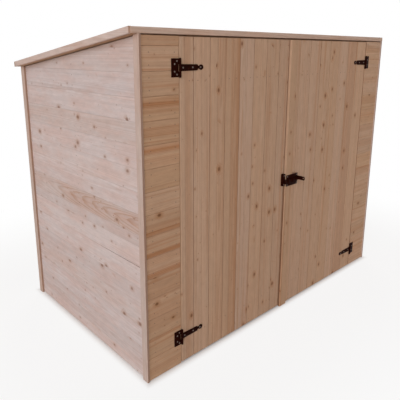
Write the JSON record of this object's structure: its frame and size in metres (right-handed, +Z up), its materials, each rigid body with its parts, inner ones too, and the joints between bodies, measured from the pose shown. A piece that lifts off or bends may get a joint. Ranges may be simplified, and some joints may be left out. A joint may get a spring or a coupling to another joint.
{
  "type": "bike shed",
  "caption": "Low wooden bike shed with horizontal board walls, a pent roof and two vertical board doors on black T hinges.",
  "frame": {"origin": "on the ground under the middle of the whole shed", "axes": "+Z up, +X to the right along the front, +Y from the doors to the back wall"},
  "size_m": [1.946, 1.168, 1.5223],
  "materials": {
    "board_wood": "planed, unpainted spruce",
    "frame_wood": "planed, unpainted spruce",
    "roof_felt": "matt mineral felt",
    "black_iron": "satin black"
  },
  "bodies": {
    "shed_frame": {"left_wall_boards": "board_wood", "right_wall_boards": "board_wood", "back_wall_boards": "board_wood", "front_left_panel": "board_wood", "front_right_panel": "board_wood", "front_left_corner_strip": "board_wood", "front_right_corner_strip": "board_wood", "back_left_corner_strip": "board_wood", "back_right_corner_strip": "board_wood", "front_fascia": "board_wood", "back_fascia": "board_wood", "left_fascia": "board_wood", "right_fascia": "board_wood", "front_left_post": "frame_wood", "front_right_post": "frame_wood", "back_left_post": "frame_wood", "back_right_post": "frame_wood", "left_door_post": "frame_wood", "right_door_post": "frame_wood", "left_wall_rails": "frame_wood", "right_wall_rails": "frame_wood", "back_wall_rails": "frame_wood", "wall_studs": "frame_wood", "door_header": "frame_wood", "roof_purlin": "frame_wood", "roof_deck": "frame_wood", "roof_felt": "roof_felt", "left_hinge_plates": "black_iron", "left_hinge_pins": "black_iron", "right_hinge_plates": "black_iron", "right_hinge_pins": "black_iron"},
    "left_door": {"left_door_boards": "board_wood", "left_door_ledges": "frame_wood", "left_door_brace": "frame_wood", "left_hinge_straps": "black_iron", "keeper_pad": "black_iron", "latch_keeper": "black_iron"},
    "right_door": {"right_door_boards": "board_wood", "right_door_ledges": "frame_wood", "right_door_brace": "frame_wood", "right_hinge_straps": "black_iron", "door_cover_strip": "board_wood", "latch_pad": "board_wood", "latch_plate": "black_iron"},
    "bolt": {"latch_bolt": "black_iron"}
  },
  "joints": [
    {"name": "left_door_swing", "type": "hinge", "parent": "shed_frame", "child": "left_door", "pos_m": [-0.7385, -0.526, 0.75], "axis": [0, 0, -1], "range_deg": [0, 170]},
    {"name": "right_door_swing", "type": "hinge", "parent": "shed_frame", "child": "right_door", "pos_m": [0.7775, -0.526, 0.75], "axis": [0, 0, 1], "range_deg": [0, 170]},
    {"name": "bolt_slide", "type": "slide", "parent": "right_door", "child": "bolt", "axis": [-1, 0, 0], "range_m": [0, 0.025]}
  ]
}
